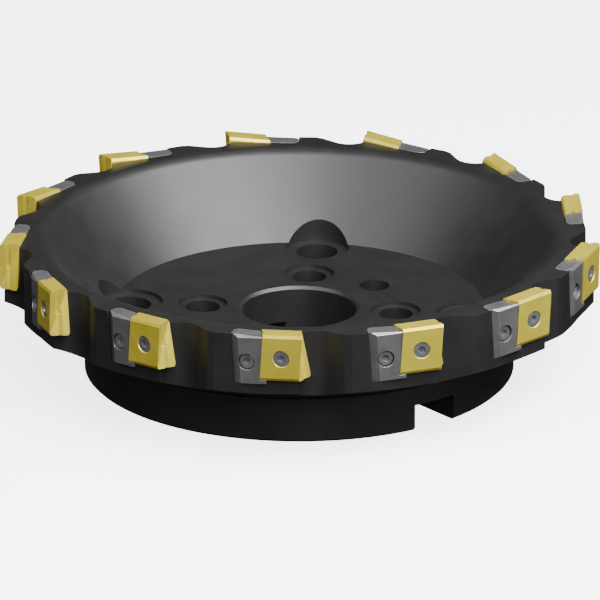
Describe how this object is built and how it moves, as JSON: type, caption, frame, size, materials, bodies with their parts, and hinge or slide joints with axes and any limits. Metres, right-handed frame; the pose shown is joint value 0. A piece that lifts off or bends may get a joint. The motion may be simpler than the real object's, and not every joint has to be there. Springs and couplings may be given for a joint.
{
  "type": "face mill",
  "caption": "Shell-type face mill with tangential indexable inserts, adjusting wedges, dished cutting face and bolt-circle spindle mounting.",
  "frame": {"origin": "centre of the pilot bore at the back face, on the surface the cutter stands on", "axes": "+Z along the spindle axis towards the dished cutting face; Y along the drive slot"},
  "size_m": [0.3136, 0.3133, 0.0757],
  "materials": {
    "black_oxide_steel": "satin black oxide",
    "coated_carbide": "satin gold nitride coating",
    "wedge_steel": "satin ground",
    "screw_steel": "satin",
    "wedge_screw_steel": "satin"
  },
  "bodies": {
    "cutter": {"cutter_body": "black_oxide_steel", "insert_screws": "screw_steel", "insert_01": "coated_carbide", "insert_02": "coated_carbide", "insert_03": "coated_carbide", "insert_04": "coated_carbide", "insert_05": "coated_carbide", "insert_06": "coated_carbide", "insert_07": "coated_carbide", "insert_08": "coated_carbide", "insert_09": "coated_carbide", "insert_10": "coated_carbide", "insert_11": "coated_carbide", "insert_12": "coated_carbide", "insert_13": "coated_carbide"},
    "wedge_01": {"wedge_01": "wedge_steel"},
    "wedge_screw_01": {"wedge_screw_01": "wedge_screw_steel"},
    "wedge_02": {"wedge_02": "wedge_steel"},
    "wedge_screw_02": {"wedge_screw_02": "wedge_screw_steel"},
    "wedge_03": {"wedge_03": "wedge_steel"},
    "wedge_screw_03": {"wedge_screw_03": "wedge_screw_steel"},
    "wedge_04": {"wedge_04": "wedge_steel"},
    "wedge_screw_04": {"wedge_screw_04": "wedge_screw_steel"},
    "wedge_05": {"wedge_05": "wedge_steel"},
    "wedge_screw_05": {"wedge_screw_05": "wedge_screw_steel"},
    "wedge_06": {"wedge_06": "wedge_steel"},
    "wedge_screw_06": {"wedge_screw_06": "wedge_screw_steel"},
    "wedge_07": {"wedge_07": "wedge_steel"},
    "wedge_screw_07": {"wedge_screw_07": "wedge_screw_steel"},
    "wedge_08": {"wedge_08": "wedge_steel"},
    "wedge_screw_08": {"wedge_screw_08": "wedge_screw_steel"},
    "wedge_09": {"wedge_09": "wedge_steel"},
    "wedge_screw_09": {"wedge_screw_09": "wedge_screw_steel"},
    "wedge_10": {"wedge_10": "wedge_steel"},
    "wedge_screw_10": {"wedge_screw_10": "wedge_screw_steel"},
    "wedge_11": {"wedge_11": "wedge_steel"},
    "wedge_screw_11": {"wedge_screw_11": "wedge_screw_steel"},
    "wedge_12": {"wedge_12": "wedge_steel"},
    "wedge_screw_12": {"wedge_screw_12": "wedge_screw_steel"},
    "wedge_13": {"wedge_13": "wedge_steel"},
    "wedge_screw_13": {"wedge_screw_13": "wedge_screw_steel"}
  },
  "joints": [
    {"name": "wedge_01_slide", "type": "slide", "parent": "cutter", "child": "wedge_01", "axis": [-0.9325, 0.3613, 0], "range_m": [-0.0005, 0.0005]},
    {"name": "wedge_screw_01_turn", "type": "hinge", "parent": "wedge_01", "child": "wedge_screw_01", "pos_m": [-0.1422, 0.03706, 0.05857], "axis": [-0.9325, 0.3613, 0], "range_deg": [-181, 181]},
    {"name": "wedge_02_slide", "type": "slide", "parent": "cutter", "child": "wedge_02", "axis": [-0.9935, -0.1134, 0], "range_m": [-0.0005, 0.0005]},
    {"name": "wedge_screw_02_turn", "type": "hinge", "parent": "wedge_02", "child": "wedge_screw_02", "pos_m": [-0.14314, -0.03327, 0.05857], "axis": [-0.9935, -0.1134, 0], "range_deg": [-181, 181]},
    {"name": "wedge_03_slide", "type": "slide", "parent": "cutter", "child": "wedge_03", "axis": [-0.827, -0.5622, 0], "range_m": [-0.0005, 0.0005]},
    {"name": "wedge_screw_03_turn", "type": "hinge", "parent": "wedge_03", "child": "wedge_screw_03", "pos_m": [-0.11128, -0.09598, 0.05857], "axis": [-0.827, -0.5622, 0], "range_deg": [-181, 181]},
    {"name": "wedge_04_slide", "type": "slide", "parent": "cutter", "child": "wedge_04", "axis": [-0.4711, -0.8821, 0], "range_m": [-0.0005, 0.0005]},
    {"name": "wedge_screw_04_turn", "type": "hinge", "parent": "wedge_04", "child": "wedge_screw_04", "pos_m": [-0.05393, -0.1367, 0.05857], "axis": [-0.4711, -0.8821, 0], "range_deg": [-181, 181]},
    {"name": "wedge_05_slide", "type": "slide", "parent": "cutter", "child": "wedge_05", "axis": [-0.0072, -1, 0], "range_m": [-0.0005, 0.0005]},
    {"name": "wedge_screw_05_turn", "type": "hinge", "parent": "wedge_05", "child": "wedge_screw_05", "pos_m": [0.01577, -0.14611, 0.05857], "axis": [-0.0072, -1, 0], "range_deg": [-181, 181]},
    {"name": "wedge_06_slide", "type": "slide", "parent": "cutter", "child": "wedge_06", "axis": [0.4584, -0.8888, 0], "range_m": [-0.0005, 0.0005]},
    {"name": "wedge_screw_06_turn", "type": "hinge", "parent": "wedge_06", "child": "wedge_screw_06", "pos_m": [0.08186, -0.12204, 0.05857], "axis": [0.4584, -0.8888, 0], "range_deg": [-181, 181]},
    {"name": "wedge_07_slide", "type": "slide", "parent": "cutter", "child": "wedge_07", "axis": [0.8189, -0.574, 0], "range_m": [-0.0005, 0.0005]},
    {"name": "wedge_screw_07_turn", "type": "hinge", "parent": "wedge_07", "child": "wedge_screw_07", "pos_m": [0.1292, -0.07002, 0.05857], "axis": [0.8189, -0.574, 0], "range_deg": [-181, 181]},
    {"name": "wedge_08_slide", "type": "slide", "parent": "cutter", "child": "wedge_08", "axis": [0.9918, -0.1277, 0], "range_m": [-0.0005, 0.0005]},
    {"name": "wedge_screw_08_turn", "type": "hinge", "parent": "wedge_08", "child": "wedge_screw_08", "pos_m": [0.14694, -0.00195, 0.05857], "axis": [0.9918, -0.1277, 0], "range_deg": [-181, 181]},
    {"name": "wedge_09_slide", "type": "slide", "parent": "cutter", "child": "wedge_09", "axis": [0.9375, 0.3479, 0], "range_m": [-0.0005, 0.0005]},
    {"name": "wedge_screw_09_turn", "type": "hinge", "parent": "wedge_09", "child": "wedge_screw_09", "pos_m": [0.13102, 0.06656, 0.05857], "axis": [0.9375, 0.3479, 0], "range_deg": [-181, 181]},
    {"name": "wedge_10_slide", "type": "slide", "parent": "cutter", "child": "wedge_10", "axis": [0.6685, 0.7437, 0], "range_m": [-0.0005, 0.0005]},
    {"name": "wedge_screw_10_turn", "type": "hinge", "parent": "wedge_10", "child": "wedge_screw_10", "pos_m": [0.08508, 0.11982, 0.05857], "axis": [0.6685, 0.7437, 0], "range_deg": [-181, 181]},
    {"name": "wedge_11_slide", "type": "slide", "parent": "cutter", "child": "wedge_11", "axis": [0.2463, 0.9692, 0], "range_m": [-0.0005, 0.0005]},
    {"name": "wedge_screw_11_turn", "type": "hinge", "parent": "wedge_11", "child": "wedge_screw_11", "pos_m": [0.01965, 0.14563, 0.05857], "axis": [0.2463, 0.9692, 0], "range_deg": [-181, 181]},
    {"name": "wedge_12_slide", "type": "slide", "parent": "cutter", "child": "wedge_12", "axis": [-0.2323, 0.9726, 0], "range_m": [-0.0005, 0.0005]},
    {"name": "wedge_screw_12_turn", "type": "hinge", "parent": "wedge_12", "child": "wedge_screw_12", "pos_m": [-0.05028, 0.13809, 0.05857], "axis": [-0.2323, 0.9726, 0], "range_deg": [-181, 181]},
    {"name": "wedge_13_slide", "type": "slide", "parent": "cutter", "child": "wedge_13", "axis": [-0.6577, 0.7532, 0], "range_m": [-0.0005, 0.0005]},
    {"name": "wedge_screw_13_turn", "type": "hinge", "parent": "wedge_13", "child": "wedge_screw_13", "pos_m": [-0.10869, 0.0989, 0.05857], "axis": [-0.6577, 0.7532, 0], "range_deg": [-181, 181]}
  ],
  "couplings": [
    {"joint": "wedge_screw_01_turn", "follows": "wedge_01_slide", "rad_per_m": -6283.2},
    {"joint": "wedge_screw_02_turn", "follows": "wedge_02_slide", "rad_per_m": -6283.2},
    {"joint": "wedge_screw_03_turn", "follows": "wedge_03_slide", "rad_per_m": -6283.2},
    {"joint": "wedge_screw_04_turn", "follows": "wedge_04_slide", "rad_per_m": -6283.2},
    {"joint": "wedge_screw_05_turn", "follows": "wedge_05_slide", "rad_per_m": -6283.2},
    {"joint": "wedge_screw_06_turn", "follows": "wedge_06_slide", "rad_per_m": -6283.2},
    {"joint": "wedge_screw_07_turn", "follows": "wedge_07_slide", "rad_per_m": -6283.2},
    {"joint": "wedge_screw_08_turn", "follows": "wedge_08_slide", "rad_per_m": -6283.2},
    {"joint": "wedge_screw_09_turn", "follows": "wedge_09_slide", "rad_per_m": -6283.2},
    {"joint": "wedge_screw_10_turn", "follows": "wedge_10_slide", "rad_per_m": -6283.2},
    {"joint": "wedge_screw_11_turn", "follows": "wedge_11_slide", "rad_per_m": -6283.2},
    {"joint": "wedge_screw_12_turn", "follows": "wedge_12_slide", "rad_per_m": -6283.2},
    {"joint": "wedge_screw_13_turn", "follows": "wedge_13_slide", "rad_per_m": -6283.2}
  ]
}
